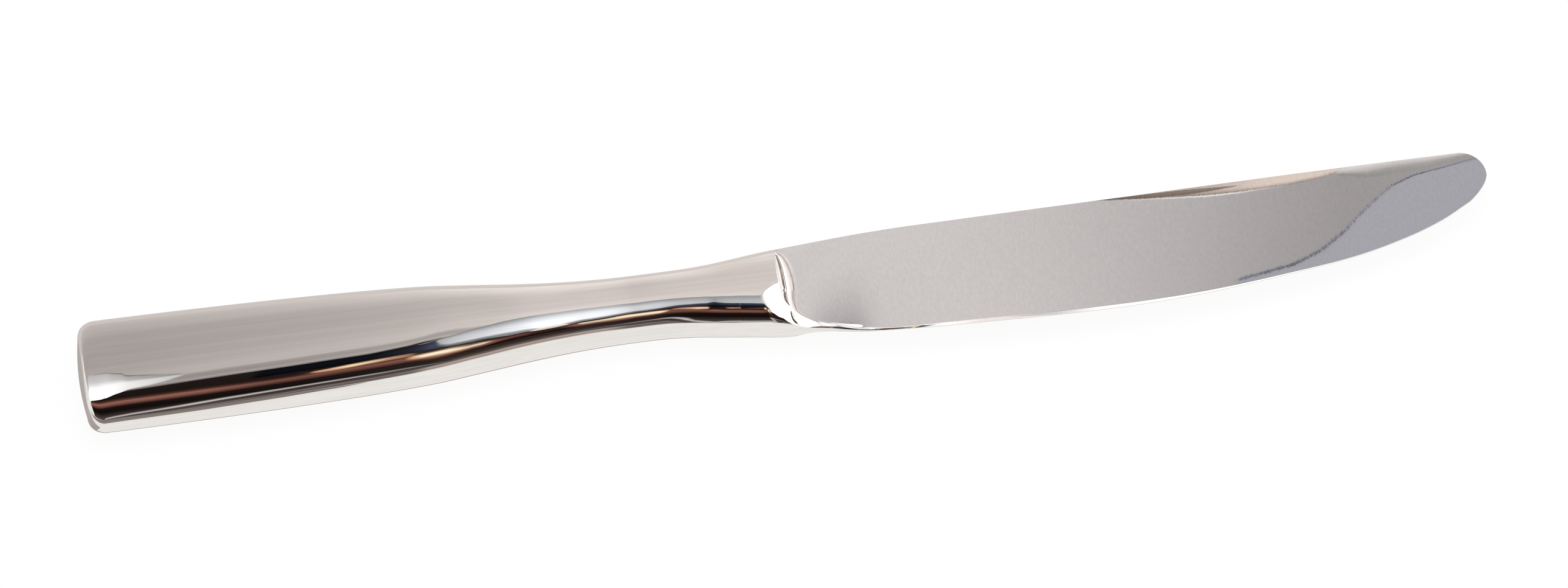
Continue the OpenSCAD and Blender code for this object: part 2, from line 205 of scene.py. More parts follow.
def forged_face(u, q):
    """One face of the forging. u runs along it and q across, from the spine (0) to the edge (1). Station 0
    follows the shoulder's crest. Behind it the cushion rolls down towards the edge, softly at first and then
    evenly. In front of it the step from the cushion to the blade falls away along the wall's profile, in a
    run that is shorter where the step is lower."""
    c = np.cos(math.pi * q)
    crest = curve(CREST, q)
    depth = curve(ROLL_DEPTH, q)
    drop = (SHOULDER_T * cushion(c) - 2 * depth - ROOT_T) / (SHOULDER_T - ROOT_T)
    run = WALL_RUN * np.clip(drop, LEAST_RUN, 1)
    x = np.where(u <= 0, u + crest * ease(1 + u / BOLSTER_L),
                 np.where(u <= WALL_RUN, crest + run * u / WALL_RUN,
                          u + (crest + run - WALL_RUN) * (1 - ease((u - WALL_RUN) / (BLADE_L / 2)))))
    middle, half_w = plan(x)
    edge, spine = curve(EDGE_LINE, x), curve(SPINE_LINE, x)
    v = np.clip((middle + half_w * c - edge) / (spine - edge), 0, 1)
    slab = mix(SEAM_GAP / 2, blade_half(x, v, spine - edge), ease(1 + u / BOLSTER_L))
    s = np.clip(1 + u / np.maximum(curve(ROLL_RUN, q), LEAST_ROLL), 0, 1) / ROLL_EASE
    roll = depth * np.where(s < 1, s ** 3 - s ** 4 / 2, s - 0.5) / (1 / ROLL_EASE - 0.5)
    rolled = curve(THICKNESS_LINE, x) * cushion(c, x) - roll
    step = np.maximum(0, soft_min(rolled, side_cap(x, v * (spine - edge)), STEP_BLEND) - slab)
    left = np.where(u <= 0, 1, np.where(u >= WALL_RUN, 0, curve(WALL, u / WALL_RUN)))
    return np.stack([x, middle + half_w * c, slab + step * left], -1)


def cushion_face(x, c, inset=0.0):
    """One face of a cushion section at x, drawn in all round by inset."""
    middle, half_w = plan(x)
    z = np.maximum(SEAM_GAP / 2, (curve(THICKNESS_LINE, x) - inset) * cushion(c, x))
    return np.stack([x + 0 * c, middle + (half_w - inset) * c, z + 0 * c], -1)


def both_faces(face):
    """Closed loops from rows of one face: the face, then the same turned over about the middle plane."""
    return np.concatenate([face, face[:, ::-1] * [1, 1, -1]], 1)


CRISP_TURN = 35


def set_mesh(name, points, quads, ends=()):
    """A mesh object in the knife's frame from points in millimetres, quads, and end faces. Corners of more
    than CRISP_TURN degrees stay crisp."""
    mesh = bpy.data.meshes.new(name)
    mesh.from_pydata(((points + PLACE) * MM).tolist(), [], quads.tolist() + [list(e) for e in ends])
    mesh.polygons.foreach_set("use_smooth", np.ones(len(mesh.polygons), bool))
    mesh.set_sharp_from_angle(angle=math.radians(CRISP_TURN))
    mesh.validate()
    mesh.update()
    made = bpy.data.objects.new(name, mesh)
    bpy.context.scene.collection.objects.link(made)
    return made


def loft(name, loops, round_rows=False):
    """A skin through closed loops (rows, points, 3): quads between neighbouring rows, closed by a face at
    each end, or joined from the last row back to the first where round_rows is set."""
    rows, n = loops.shape[:2]
    start = np.arange(rows if round_rows else rows - 1)[:, None] * n
    after = (start + n) % (rows * n)
    i, k = np.arange(n)[None], (np.arange(n)[None] + 1) % n
    quads = np.stack([start + i, start + k, after + k, after + i], -1).reshape(-1, 4)
    ends = () if round_rows else (range(n - 1, -1, -1), range((rows - 1) * n, rows * n))
    return set_mesh(name, loops.reshape(-1, 3), quads, ends)


SLEEVE_X = -BOLSTER_L - RING_GAP - SPIGOT_L
SPIGOT_INSET = SHELL_WALL + RING_GAP

# Stations across one face, and along it: the bolster up to its crest, the step's wall, the blade, where they
# crowd towards the wall, and the tip's round, where the last one stops just short of the end.
ACROSS_N, SPIGOT_N, BOLSTER_N, CREST_N, WALL_N, BLADE_N, TIP_N = 121, 5, 24, 4, 49, 190, 30
CREST_FROM, CREST_NEAR, CROWDING, TIP_TURN = -0.4, -0.3, 1.3, 86
across = np.linspace(0, 1, ACROSS_N)[None]
bolster_u = np.concatenate([np.linspace(-BOLSTER_L, CREST_FROM, BOLSTER_N),
                            np.linspace(CREST_NEAR, 0, CREST_N)])
wall_u = np.linspace(0, WALL_RUN, WALL_N)[1:]
blade_u = mix(WALL_RUN, BLADE_L - TIP_R, np.linspace(0, 1, BLADE_N)[1:] ** CROWDING)
tip_u = BLADE_L - TIP_R * (1 - np.sin(np.radians(np.linspace(0, TIP_TURN, TIP_N)[1:])))
along = np.concatenate([bolster_u, wall_u, blade_u, tip_u])[:, None]
spigot_x = np.linspace(SLEEVE_X, -BOLSTER_L, SPIGOT_N)[:, None]
turn_c = np.cos(math.pi * across)
tang_half = np.array([[TANG_TAPER], [1]]) * TANG_T / 2
tang_face = np.stack([np.array([[SLEEVE_X - TANG_L], [SLEEVE_X]]) + 0 * turn_c,
                      TANG_W / 2 * turn_c + np.zeros((2, 1)),
                      np.maximum(SEAM_GAP / 2, tang_half * cushion(turn_c))], -1)
spigot_face = cushion_face(spigot_x, turn_c, SPIGOT_INSET)
blade_face = forged_face(along, across)
blade = loft("table_knife_blade", both_faces(np.concatenate([tang_face, spigot_face, blade_face])))


def linear(hex_code):
    """An sRGB hex colour as linear RGBA."""
    s = [int(hex_code[i:i + 2], 16) / 255 for i in (0, 2, 4)]
    return [v / 12.92 if v <= 0.04045 else ((v + 0.055) / 1.055) ** 2.4 for v in s] + [1.0]


def add_node(tree, kind, settings=None, links=None):
    """Adds a node. settings holds properties, sockets by name or number, and a colour ramp's stops as
    (place, colour). links joins a socket, by name or number, to the output that feeds it."""
    made = tree.nodes.new(kind)
    for key, value in (settings or {}).items():
        if key == "stops":
            points = made.color_ramp.elements
            while len(points) < len(value):
                points.new(0.5)
            for point, (spot, colour) in zip(points, value):
                point.position, point.color = spot, colour
        elif isinstance(key, str) and hasattr(made, key):
            setattr(made, key, value)
        else:
            made.inputs[key].default_value = value
    for key, output in (links or {}).items():
        tree.links.new(output, made.inputs[key])
    return made


def new_material(name):
    """An empty node material: returns it with its tree."""
    made = bpy.data.materials.new(name)
    made.use_nodes = True
    made.node_tree.nodes.clear()
    return made, made.node_tree


# Mirror-polished stainless steel: buffed lengthwise, so it reflects the room sharply and shows faint
# hairlines, some 55 mm long and 0.6 mm apart. The real ones are finer, and they are drawn this coarse so
# that they show.
polished, tree = new_material("mirror_polished_stainless_steel")
place = add_node(tree, "ShaderNodeTexCoord")
long_grain = add_node(tree, "ShaderNodeMapping", {"Scale": (0.018 / MM, 1.6 / MM, 1.6 / MM)},
                      {"Vector": place.outputs["Object"]})
hairlines = add_node(tree, "ShaderNodeTexNoise", {"Scale": 1.0, "Detail": 4.0},
                     {"Vector": long_grain.outputs[0]})
rough = add_node(tree, "ShaderNodeMapRange",
                 {"From Min": 0.3, "From Max": 0.7, "To Min": 0.012, "To Max": 0.035},
                 {"Value": hairlines.outputs["Fac"]})
relief = add_node(tree, "ShaderNodeBump", {"Strength": 0.3, "Distance": 0.005 * MM},
                  {"Height": hairlines.outputs["Fac"]})
tone = add_node(tree, "ShaderNodeValToRGB", {"stops": [(0.3, linear("E2DEDA")), (0.7, linear("EAE6E2"))]},
                {"Fac": hairlines.outputs["Fac"]})
metal = add_node(tree, "ShaderNodeBsdfPrincipled", {"Metallic": 1.0},
                 {"Base Color": tone.outputs[0], "Roughness": rough.outputs[0], "Normal": relief.outputs[0]})
add_node(tree, "ShaderNodeOutputMaterial", {}, {0: metal.outputs[0]})

# Fine-ground stainless steel: the wheel leaves cross lines some hundredths of a millimetre apart, drawn
# here 0.4 mm apart and 0.9 mm long so that they show. They lean a little, give the face a fine mottle and
# fray the edges of what it reflects.
LINE_LEAN = 0.1
ground, tree = new_material("fine_ground_stainless_steel")
place = add_node(tree, "ShaderNodeTexCoord")
cross_grain = add_node(tree, "ShaderNodeMapping",
                       {"Scale": (2.6 / MM, 1.1 / MM, 1.1 / MM), "Rotation": (0, 0, LINE_LEAN)},
                       {"Vector": place.outputs["Object"]})
lines = add_node(tree, "ShaderNodeTexNoise", {"Scale": 1.0, "Detail": 3.0},
                 {"Vector": cross_grain.outputs[0]})
rough = add_node(tree, "ShaderNodeMapRange",
                 {"From Min": 0.3, "From Max": 0.7, "To Min": 0.012, "To Max": 0.022},
                 {"Value": lines.outputs["Fac"]})
relief = add_node(tree, "ShaderNodeBump", {"Strength": 0.3, "Distance": 0.0012 * MM},
                  {"Height": lines.outputs["Fac"]})
tone = add_node(tree, "ShaderNodeValToRGB", {"stops": [(0.25, linear("D9D6D4")), (0.75, linear("E3DFDD"))]},
                {"Fac": lines.outputs["Fac"]})
metal = add_node(tree, "ShaderNodeBsdfPrincipled", {"Metallic": 1.0},
                 {"Base Color": tone.outputs[0], "Roughness": rough.outputs[0], "Normal": relief.outputs[0]})
add_node(tree, "ShaderNodeOutputMaterial", {}, {0: metal.outputs[0]})

# The bolster is polished down to the last row but one of its wall, and the blade in front of it is ground.
blade.data.materials.append(polished)
blade.data.materials.append(ground)
polished_rows = len(tang_face) + len(spigot_x) + len(bolster_u) + len(wall_u) - 2
finish_of = np.zeros(len(blade.data.polygons), np.int32)
finish_of[2 * ACROSS_N * polished_rows:] = 1
blade.data.polygons.foreach_set("material_index", finish_of)
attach(blade, "root")
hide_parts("blade")

# Handle shells. Two dished halves pressed from 0.9 mm stainless sheet, one the mirror image of the other.
# They are open at the mouth, closed at the butt, brazed edge to edge and polished all over to a mirror.
BUTT_CORNER, BUTT_ROUND, BUTT_DOME = 3.0, 1.0, 0.6
BUTT_FALL, FALL_RUN, FALL_POWER = 0.5, 7.0, 2.5
END_X = -HANDLE_L + BUTT_DOME
MOUTH_X = -BOLSTER_L - RING_GAP

# The rows that close the butt, as shares of the way out from its middle, and how many follow round its
# corner and along the handle.
DOME_SHARE = np.array([0.02, 0.1, 0.25, 0.4, 0.55, 0.7, 0.82, 0.92, 0.97])[:, None]
CORNER_N, HANDLE_N = 40, 160


def shell_face(x, c, inset=0.0, share=1.0, at_x=None):
    """One face of a shell: the cushion section, drawn in at the butt by its plan corner and its rim, with a
    broad face that falls a little there. share scales it about the middle, and at_x moves it to another
    station."""
    middle, half_w = plan(x)
    half_w = half_w - round_off(BUTT_CORNER, x - END_X)
    fall = BUTT_FALL * np.clip(1 - (x - END_X) / FALL_RUN, 0, 1) ** FALL_POWER
    half_t = curve(THICKNESS_LINE, x) - round_off(BUTT_ROUND, x - END_X) - fall
    z = np.maximum(SEAM_GAP / 2, share * (half_t - inset) * cushion(c, x))
    x = x if at_x is None else at_x
    return np.stack([x + 0 * c, middle + share * (half_w - inset) * c, z + 0 * c], -1)


def shell_rows():
    """The rows of a half shell from the middle of the butt to the mouth: its outside, domed at the butt,
    and its inside, which has a flat floor at the butt."""
    corner = END_X + BUTT_CORNER * (1 - np.cos(np.radians(np.linspace(0, 90, CORNER_N))))
    body = np.concatenate([corner, np.linspace(END_X + BUTT_CORNER, MOUTH_X, HANDLE_N)[1:]])[:, None]
    inner = body + SHELL_WALL * np.clip((SLEEVE_X - body) / (SLEEVE_X - END_X), 0, 1)
    dome_x = END_X - BUTT_DOME * (1 - DOME_SHARE ** 2)
    dome = shell_face(END_X + 0 * DOME_SHARE, turn_c, 0, DOME_SHARE, dome_x)
    butt_floor = shell_face(END_X + SHELL_WALL + 0 * DOME_SHARE, turn_c, SHELL_WALL, DOME_SHARE)
    return (np.concatenate([dome, shell_face(body, turn_c)]),
            np.concatenate([butt_floor, shell_face(inner, turn_c, SHELL_WALL)]))


def half_shell(name, side):
    """A half of the handle: outside rows and inside rows joined into loops, with a floor at the butt. Side
    -1 is underneath."""
    outside, inside = shell_rows()
    loops = np.concatenate([outside, inside[:, ::-1]], 1)
    if side < 0:
        loops = loops[:, ::-1] * [1, 1, -1]
    return loft(name, loops)


for name, side in (("handle_shell_upper", 1), ("handle_shell_lower", -1)):
    shell = half_shell("table_knife_" + name, side)
    shell.data.materials.append(polished)
    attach(shell, "root")
    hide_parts(name)

# Shell seam. A thread of silver braze that joins the two halves along both sides and round the butt.
# It is ground flush with them and polished in the same passes, so it shares their shine, a shade warmer.
# The cast metal's grain, about a millimetre across, clouds its tone slightly.
braze, tree = new_material("polished_silver_braze")
place = add_node(tree, "ShaderNodeTexCoord")
grain = add_node(tree, "ShaderNodeTexNoise", {"Scale": 0.9 / MM, "Detail": 3.0},
                 {"Vector": place.outputs["Object"]})
tone = add_node(tree, "ShaderNodeValToRGB", {"stops": [(0.3, linear("E2DDD7")), (0.7, linear("EBE6E0"))]},
                {"Fac": grain.outputs["Fac"]})
rough = add_node(tree, "ShaderNodeMapRange",
                 {"From Min": 0.3, "From Max": 0.7, "To Min": 0.03, "To Max": 0.08},
                 {"Value": grain.outputs["Fac"]})
metal = add_node(tree, "ShaderNodeBsdfPrincipled", {"Metallic": 1.0},
                 {"Base Color": tone.outputs[0], "Roughness": rough.outputs[0]})
add_node(tree, "ShaderNodeOutputMaterial", {}, {0: metal.outputs[0]})


def seam_edge(row, side):
    """The rim of a shell's rows on one side of the knife, from the mouth to the butt, in the plane of the
    seam."""
    return row[::-1, 0 if side > 0 else -1, :2]


outside, inside = shell_rows()
rims = [np.concatenate([seam_edge(rows, 1), seam_edge(rows, -1)[::-1]]) for rows in (outside, inside)]
strip = np.stack([np.concatenate([rim, np.full((len(rim), 1), level * SEAM_GAP / 2)], 1)
                  for rim, level in ((rims[0], 1), (rims[0], -1), (rims[1], -1), (rims[1], 1))], 1)
seam = loft("table_knife_shell_seam", strip)
seam.data.materials.append(braze)
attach(seam, "root")
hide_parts("shell_seam")

# Bolster ring. The same braze where the handle's mouth meets the bolster. It runs in round the spigot and
# fills the hair's breadth between the two faces, and it is polished flush with both.
ring_rows = [(SLEEVE_X, SHELL_WALL), (MOUTH_X, SHELL_WALL), (MOUTH_X, 0.0), (-BOLSTER_L, 0.0),
             (-BOLSTER_L, SPIGOT_INSET), (SLEEVE_X, SPIGOT_INSET)]
ring_face = np.concatenate([cushion_face(np.array([[x]]), turn_c, inset) for x, inset in ring_rows])
ring = loft("table_knife_bolster_ring", both_faces(ring_face), round_rows=True)
ring.data.materials.append(braze)
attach(ring, "root")
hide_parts("bolster_ring")

# Handle cement. Hard cutler's cement, resin filled with brick dust, poured in hot round the tang.
# It fills the shells, so none of it shows: a dull grey-brown mass, clouded every 6 mm, with grit of 0.6 mm.
cement, tree = new_material("cutlers_cement")
place = add_node(tree, "ShaderNodeTexCoord")
grit = add_node(tree, "ShaderNodeTexVoronoi", {"Scale": 1.8 / MM}, {"Vector": place.outputs["Object"]})
cloud = add_node(tree, "ShaderNodeTexNoise", {"Scale": 0.16 / MM, "Detail": 5.0},
                 {"Vector": place.outputs["Object"]})
tone = add_node(tree, "ShaderNodeValToRGB", {"stops": [(0.3, linear("8E7F6B")), (0.7, linear("B0A48F"))]},
                {"Fac": cloud.outputs["Fac"]})
relief = add_node(tree, "ShaderNodeBump", {"Strength": 0.4, "Distance": 0.3 * MM},
                  {"Height": grit.outputs["Distance"]})
dull = add_node(tree, "ShaderNodeBsdfPrincipled", {"Roughness": 0.92},
                {"Base Color": tone.outputs[0], "Normal": relief.outputs[0]})
add_node(tree, "ShaderNodeOutputMaterial", {}, {0: dull.outputs[0]})
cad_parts["handle_cement"].data.materials.clear()
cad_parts["handle_cement"].data.materials.append(cement)

# Studio. A white table and a white room, with soft light from above. Cards hang round the knife for the
# steel to reflect: grey on the far side, dark overhead and in front, with warm wood and soft boxes between
# them. Only the metal sees them. The camera and the table don't.

# RAMP_TOP is the level that white stands for on a card's ramps.
TABLE_CARD_Z, RAMP_TOP = 0.4 * MM, 2.0
CARD_ALONG_N, CARD_ACROSS_N = 401, 41


def card(name, hex_code, distance, low, high, along, across=((0, 1), (1, 1))):
    """A sheet of light bent round the knife's long axis, at a distance in metres. low and high give its
    long edges as (x in metres, angle in degrees up from the far side, +Y). With no distance it lies on the
    table, and they give (x, y). Its shine is a colour times two levels, one along the knife (x in metres)
    and one across the sheet (0 to 1)."""
    made, tree = new_material(name + "_glow")
    spots = add_node(tree, "ShaderNodeUVMap")
    parts = add_node(tree, "ShaderNodeSeparateXYZ", {}, {0: spots.outputs[0]})
    first, last = low[0][0], low[-1][0]
    stops = [[((x - first) / (last - first), (level / RAMP_TOP,) * 3 + (1,)) for x, level in along],
             [(v, (level / RAMP_TOP,) * 3 + (1,)) for v, level in across]]
    level_x = add_node(tree, "ShaderNodeValToRGB", {"stops": stops[0]}, {0: parts.outputs[0]})
    level_v = add_node(tree, "ShaderNodeValToRGB", {"stops": stops[1]}, {0: parts.outputs[1]})
    level = add_node(tree, "ShaderNodeMath", {"operation": "MULTIPLY"},
                     {0: level_x.outputs[0], 1: level_v.outputs[0]})
    level = add_node(tree, "ShaderNodeMath", {"operation": "MULTIPLY", 1: RAMP_TOP ** 2},
                     {0: level.outputs[0]})
    shine = add_node(tree, "ShaderNodeEmission", {"Color": linear(hex_code)}, {"Strength": level.outputs[0]})
    add_node(tree, "ShaderNodeOutputMaterial", {}, {0: shine.outputs[0]})

    x = np.linspace(first, last, CARD_ALONG_N)[:, None]
    v = np.linspace(0, 1, CARD_ACROSS_N)[None]
    place = mix(*[np.interp(x, *np.array(edge, float).T) for edge in (low, high)], v)
    if distance:
        turn = np.radians(place)
        points = np.stack([x + 0 * v, distance * np.cos(turn), distance * np.sin(turn)], -1)
    else:
        points = np.stack([x + 0 * v, place, 0 * place + TABLE_CARD_Z], -1)
    n = v.size
    start = np.arange(x.size - 1)[:, None] * n + np.arange(n - 1)[None]
    quads = np.stack([start, start + 1, start + n + 1, start + n], -1).reshape(-1, 4)
    mesh = bpy.data.meshes.new(name)
    mesh.from_pydata(points.reshape(-1, 3).tolist(), [], quads.tolist())
    uv = np.stack([(x - first) / (last - first) + 0 * v, v + 0 * x], -1).reshape(-1, 2)
    mesh.uv_layers.new(name="UVMap").data.foreach_set("uv", uv[quads.ravel()].ravel().astype(np.float32))
    mesh.materials.append(made)
    hung = bpy.data.objects.new(name, mesh)
    bpy.context.scene.collection.objects.link(hung)
    hung.visible_camera = hung.visible_diffuse = hung.visible_shadow = False


def mirrored(tree):
    """The output that is 1 on a ray from the camera, metal or glass, and 0 on light that spreads: the
    greatest of the three flags."""
    ray = add_node(tree, "ShaderNodeLightPath")
    share = ray.outputs["Is Camera Ray"]
    for kind in ("Is Glossy Ray", "Is Transmission Ray"):
        most = add_node(tree, "ShaderNodeMath", {"operation": "MAXIMUM"}, {0: share, 1: ray.outputs[kind]})
        share = most.outputs[0]
    return share


# The table. The camera and the steel see mostly an even glow there, and light that spreads sees white paper.
TABLE_REACH, GLOW_SHARE = 9.0, 0.9
floor_mesh = bpy.data.meshes.new("floor")
corners = [(x * TABLE_REACH, y * TABLE_REACH, 0) for x, y in ((-1, -1), (1, -1), (1, 1), (-1, 1))]
floor_mesh.from_pydata(corners, [], [(0, 1, 2, 3)])
floor = bpy.data.objects.new("floor", floor_mesh)
bpy.context.scene.collection.objects.link(floor)
white, tree = new_material("white_table")
share = add_node(tree, "ShaderNodeMath", {"operation": "MULTIPLY", 1: GLOW_SHARE}, {0: mirrored(tree)})
paper = add_node(tree, "ShaderNodeBsdfDiffuse", {"Color": (0.9, 0.9, 0.9, 1)})
glow = add_node(tree, "ShaderNodeEmission", {"Color": (1, 1, 1, 1), "Strength": 1.02})
blend = add_node(tree, "ShaderNodeMixShader", {},
                 {0: share.outputs[0], 1: paper.outputs[0], 2: glow.outputs[0]})
add_node(tree, "ShaderNodeOutputMaterial", {}, {0: blend.outputs[0]})
floor.data.materials.append(white)

# The room. It is white to the camera and the steel, and a little dimmer as a source of soft light.
world = bpy.data.worlds.new("white_room")
bpy.context.scene.world = world
world.use_nodes = True
world.node_tree.nodes.clear()
tree = world.node_tree
level = add_node(tree, "ShaderNodeMapRange", {"To Min": 0.7, "To Max": 1.0}, {"Value": mirrored(tree)})
glow = add_node(tree, "ShaderNodeBackground", {"Color": (1, 1, 1, 1)}, {"Strength": level.outputs[0]})
add_node(tree, "ShaderNodeOutputWorld", {}, {0: glow.outputs[0]})

# The far side: a wall, grey behind the handle and paler behind the blade, a dark corner past the tip, and
# the table that runs up to the wall.
card("grey_wall", "FFF8F6", 1.0,
     low=[(-1.5, 0), (0.08, 0)],
     high=[(-1.5, 94), (-0.112, 93), (-0.1, 91.5), (-0.08, 89.5), (-0.05, 88.5), (-0.03, 88.5),
           (-0.02, 86.5), (-0.012, 83.5), (0, 83), (0.03, 88), (0.08, 94)],
     along=[(-1.5, 0.47), (-0.108, 0.47), (-0.05, 0.54), (-0.02, 0.6), (0, 0.63), (0.022, 0.667),
            (0.045, 0.74), (0.08, 0.78)],
     across=[(0, 1.42), (0.14, 1.32), (0.28, 1.22), (0.44, 1.04), (0.61, 1.0), (0.7, 1.08), (0.78, 1.2),
             (0.855, 1.2), (0.885, 0.8), (0.93, 0.75), (0.96, 0.95), (0.985, 0.6), (1, 0.08)])
card("pale_wall", "FFFCFD", 1.0,
     low=[(0.08, 0), (4, 0)],
     high=[(0.08, 94), (4, 94)],
     along=[(0.08, 0.81), (0.119, 0.845), (0.15, 0.785), (0.2, 0.628), (0.209, 0.595), (0.222, 0.54),
            (0.246, 0.46), (0.31, 0.46), (0.36, 1.0), (0.5, 1.15), (0.8, 1.4), (4, 1.5)],
     across=[(0, 1.2), (0.3, 1.1), (0.6, 1.05), (0.616, 1.15), (0.624, 1.0), (0.72, 0.98), (1, 0.95)])
card("dark_corner", "FFF0E8", 0.99,
     low=[(0.7, -2), (2.8, -2)],
     high=[(0.7, 13), (1.2, 16), (2.8, 16)],
     along=[(0.7, 0.32), (2.8, 0.32)])
card("far_table", "FFF9F7", 0,
     low=[(-1.5, 0.0125), (1.5, 0.0125)],
     high=[(-1.5, 1.0), (1.5, 1.0)],
     along=[(-1.5, 0.72), (-0.1, 0.74), (0, 0.8), (0.03, 0.92), (1.5, 0.92)])

# Overhead and in front it is dark. A rail of warm wood crosses the dark, with a lamp's glint and a lit part.
card("black_ceiling", "FFDCD2", 1.05,
     low=[(-1.5, 80), (1.5, 80)],
     high=[(-1.5, 200), (1.5, 200)],
     along=[(-1.5, 0.012), (-0.12, 0.012), (-0.02, 0.016), (0.02, 0.03), (0.1, 0.05), (1.5, 0.05)],
     across=[(0, 1.3), (0.35, 1), (0.5, 0.6), (0.57, 1.5), (0.65, 4), (0.8, 9), (1, 12)])
card("wood_rail", "FFAF9E", 0.97,
     low=[(-1.5, 104), (-0.09, 104), (-0.06, 106), (-0.045, 106), (-0.03, 104), (0, 104), (0.02, 108),
          (0.06, 110), (0.3, 120)],
     high=[(-1.5, 127), (-0.02, 127), (0.02, 128), (0.045, 132), (0.3, 134)],
     along=[(-1.5, 0.36), (-0.08, 0.36), (-0.06, 0.24), (-0.04, 0.24), (-0.01, 0.26), (0.03, 0.3),
            (0.06, 0.55), (0.1, 0.4), (0.114, 0.06), (0.3, 0.03)],
     across=[(0, 0.05), (0.22, 0.25), (0.4, 1), (0.6, 0.7), (0.8, 0.3), (1, 0.03)])
card("lamp_glint", "FFC29B", 0.96,
     low=[(-0.0435, 106), (-0.04, 104.5), (-0.033, 102), (-0.02, 100.5), (-0.005, 101), (0.002, 104)],
     high=[(-0.0435, 107), (-0.04, 111), (-0.033, 112), (-0.02, 110), (-0.01, 109.5), (0.002, 110)],
     along=[(-0.0435, 0.8), (-0.03, 0.9), (-0.015, 0.7), (-0.002, 0.45), (0.002, 0.3)],
     across=[(0, 0.3), (0.25, 0.9), (0.5, 1), (0.75, 0.85), (1, 0.15)])
card("lamp_core", "FFEAC4", 0.955,
     low=[(-0.04, 106.5), (-0.03, 103.5), (-0.02, 103), (-0.012, 104)],
     high=[(-0.04, 107), (-0.03, 108.5), (-0.02, 107), (-0.012, 105)],
     along=[(-0.04, 0.9), (-0.03, 1.2), (-0.02, 1.0), (-0.012, 0.8)],
     across=[(0, 0.7), (0.3, 1), (0.7, 1), (1, 0.7)])
card("wood_light", "FFC9A5", 0.955,
     low=[(0.002, 107), (0.01, 106.5), (0.045, 106), (0.06, 108), (0.075, 112), (0.092, 115)],
     high=[(0.002, 114), (0.01, 119), (0.022, 122), (0.045, 123.5), (0.075, 125), (0.092, 126)],
     along=[(0.002, 0.5), (0.01, 0.85), (0.06, 0.9), (0.075, 0.8), (0.092, 0.5)],
     across=[(0, 0.25), (0.15, 0.6), (0.3, 1), (0.7, 1), (0.88, 0.5), (1, 0.2)])
card("wood_core", "FFF6DC", 0.95,
     low=[(0.005, 111), (0.02, 109.5), (0.05, 109.5), (0.075, 114), (0.09, 116)],
     high=[(0.005, 112), (0.02, 117), (0.05, 118), (0.075, 119.5), (0.09, 121.5)],
     along=[(0.005, 1.0), (0.02, 1.25), (0.06, 1.2), (0.09, 0.8)],
     across=[(0, 0.7), (0.3, 1), (0.7, 1), (1, 0.75)])

# Low in front: a bright gap, the board under it, and the near end of the table.
card("window_gap", "FFFAF8", 0.94,
     low=[(-0.2, 172), (-0.108, 161), (-0.095, 155.5), (-0.08, 148.5), (-0.065, 144.5), (-0.05, 142),
          (-0.03, 141), (0, 141), (0.03, 142.5), (0.06, 145), (0.12, 150)],
     high=[(-0.2, 190), (-0.108, 177), (-0.095, 171), (-0.08, 165.5), (-0.065, 159.5), (-0.05, 155),
           (-0.03, 151.5), (0, 151), (0.03, 153), (0.06, 155), (0.12, 160)],
     along=[(-0.2, 0.6), (-0.095, 0.66), (-0.08, 0.74), (-0.05, 0.62), (-0.02, 0.55), (0.01, 0.42),
            (0.03, 0.28), (0.06, 0.18), (0.12, 0.15)],
     across=[(0, 0.04), (0.15, 0.25), (0.4, 0.95), (0.55, 1), (0.7, 0.6), (0.85, 0.2), (1, 0.1)])
card("near_board", "FFF0EA", 0.93,
     low=[(-0.2, 185), (-0.095, 179), (-0.08, 172), (-0.065, 166), (-0.04, 162), (-0.02, 157), (0.3, 155)],
     high=[(-0.2, 195), (-0.095, 190), (-0.08, 186), (-0.065, 182), (-0.04, 181), (0, 181), (0.3, 181)],
     along=[(-0.2, 0.2), (-0.095, 0.24), (-0.065, 0.24), (0.02, 0.22), (0.045, 0.26), (0.075, 0.55),
            (0.3, 0.6)],
     across=[(0, 0.2), (0.35, 1), (0.6, 0.6), (0.75, 0.9), (0.9, 1.6), (1, 2.2)])
card("near_table", "FFF2EE", 0,
     low=[(-0.2, -0.02), (-0.115, -0.022), (-0.099, -0.025), (-0.085, -0.035), (-0.073, -0.054),
          (-0.063, -0.11), (-0.057, -0.2), (-0.046, -0.5), (-0.03, -0.72), (0.02, -0.8)],
     high=[(-0.2, -0.94), (0.02, -0.94)],
     along=[(-0.2, 0.22), (0.02, 0.3)],
     across=[(0, 1.2), (0.04, 1), (1, 1)])

# Soft boxes: one over the bolster and the blade, with its end and its bluish fringe, one past the blade in
# front, and one past the butt, with its edge.
card("top_softbox", "F2F7FF", 0.89,
     low=[(-0.018, 86), (-0.005, 83.5), (0, 82), (0.01, 77), (0.022, 73), (0.045, 71.5), (0.06, 71.5),
          (0.09, 71.5), (0.3, 72)],
     high=[(-0.018, 86.6), (-0.005, 88), (0, 90), (0.005, 94), (0.01, 97), (0.022, 102), (0.045, 104),
           (0.06, 106), (0.075, 110), (0.09, 114), (0.11, 119), (0.3, 122)],
     along=[(-0.018, 0.3), (-0.005, 0.55), (0.01, 0.75), (0.022, 0.85), (0.045, 1.1), (0.06, 1.3),
            (0.09, 1.6), (0.105, 1.15), (0.3, 1.05)],
     across=[(0, 0.5), (0.04, 0.45), (0.15, 0.6), (0.3, 0.82), (0.45, 0.97), (0.5, 1), (0.8, 0.95),
             (0.86, 0.5), (0.92, 0.25), (1, 0.2)])
card("window_end", "FFFBF9", 0.8885,
     low=[(0.09, 71.5), (0.125, 71.5)],
     high=[(0.09, 114), (0.11, 119), (0.125, 119.5)],
     along=[(0.09, 1.5), (0.1, 1.15), (0.125, 1.1)],
     across=[(0, 0.7), (0.1, 0.9), (0.3, 1), (0.8, 1), (0.9, 0.75), (1, 0.6)])
